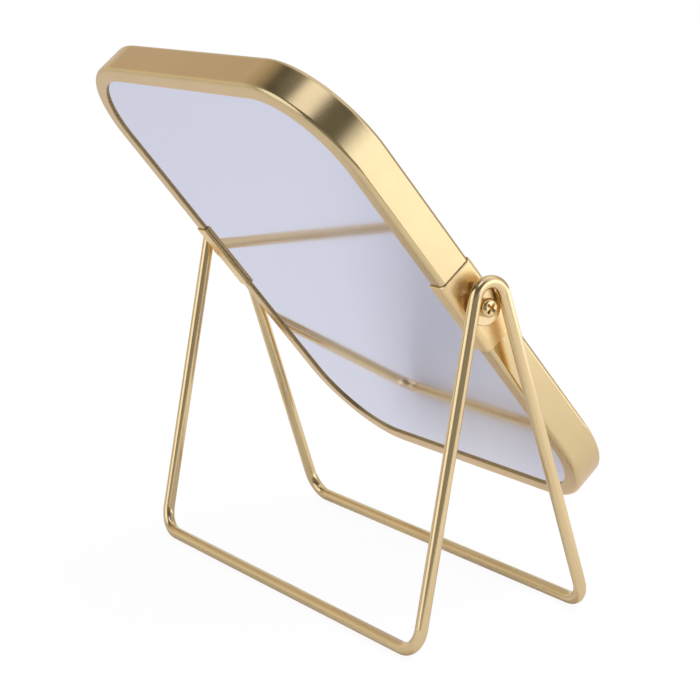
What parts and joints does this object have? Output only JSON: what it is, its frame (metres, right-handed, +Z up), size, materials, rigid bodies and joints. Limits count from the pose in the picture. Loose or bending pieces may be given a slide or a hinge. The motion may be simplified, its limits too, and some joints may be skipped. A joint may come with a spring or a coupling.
{
  "type": "makeup mirror",
  "caption": "Two-sided tabletop makeup mirror in a gold channel frame with rounded corners, swivelling between the apexes of a bent-wire stand.",
  "frame": {"origin": "on the table, midway between the two foot bars and under the pivot axis", "axes": "+X along the pivot axis, +Y towards the side that the magnifying glass faces, +Z up"},
  "size_m": [0.1606, 0.1142, 0.177],
  "materials": {
    "wire_gold": "polished gold plating on steel wire",
    "tab_gold": "gold plating on stamped steel",
    "frame_gold": "satin gold",
    "splice_steel": "plain steel",
    "plain_silvering": "silvered flat glass",
    "magnifier_silvering": "silvered dished glass",
    "gasket_black": "matt black",
    "spacer_grey": "moulded",
    "foam_grey": "closed-cell foam sheet",
    "washer_fibre": "brown fibre",
    "screw_gold": "bright gold plating"
  },
  "bodies": {
    "stand": {"stand_wire": "wire_gold", "left_pivot_tab": "tab_gold", "right_pivot_tab": "tab_gold"},
    "mirror_head": {"upper_frame": "frame_gold", "lower_frame": "frame_gold", "left_pivot_sleeve": "frame_gold", "right_pivot_sleeve": "frame_gold", "left_splice_plate": "splice_steel", "right_splice_plate": "splice_steel", "plain_mirror": "plain_silvering", "magnifying_mirror": "magnifier_silvering", "magnifier_gasket": "gasket_black", "spacer_ring": "spacer_grey", "foam_core": "foam_grey", "left_friction_washer": "washer_fibre", "right_friction_washer": "washer_fibre", "left_pivot_screw": "screw_gold", "right_pivot_screw": "screw_gold"}
  },
  "joints": [
    {"name": "mirror_swivel", "type": "hinge", "parent": "stand", "child": "mirror_head", "pos_m": [0, 0, 0.1015], "axis": [1, 0, 0], "continuous": true}
  ]
}
